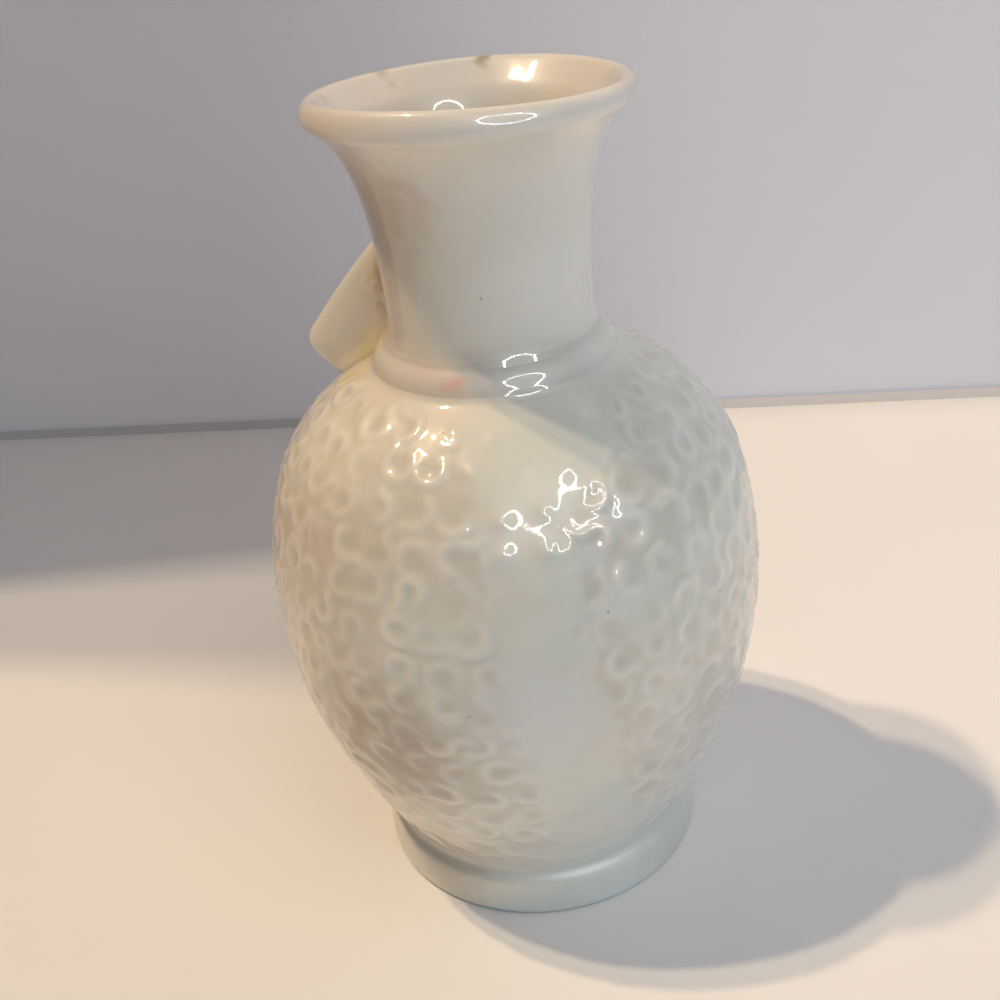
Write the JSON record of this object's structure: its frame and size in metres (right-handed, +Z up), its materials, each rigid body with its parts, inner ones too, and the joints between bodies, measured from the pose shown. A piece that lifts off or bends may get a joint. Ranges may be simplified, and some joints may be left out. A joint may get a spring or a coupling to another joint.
{
  "type": "bud vase",
  "caption": "Small glazed porcelain bud vase: egg-shaped belly with a relief of curls, trumpet neck with rolled lip, foot ring and a fin-like lug.",
  "frame": {"origin": "centre of the foot ring, on the surface the vase stands on", "axes": "+Z up along the vase's axis; the lug points along -X"},
  "size_m": [0.0799, 0.0798, 0.13],
  "materials": {
    "belly_glaze": "glossy pearl lustre glaze over white porcelain",
    "neck_glaze": "glossy pearl lustre glaze, peach tint at the lip",
    "collar_glaze": "glossy glaze with a faint pink tint",
    "foot_glaze": "glossy glaze, pale grey green",
    "lug_glaze": "glossy glaze, warm cream"
  },
  "bodies": {
    "root": {"body_shell": "belly_glaze", "neck": "neck_glaze", "neck_collar": "collar_glaze", "foot_ring": "foot_glaze", "shoulder_lug": "lug_glaze"}
  },
  "joints": []
}
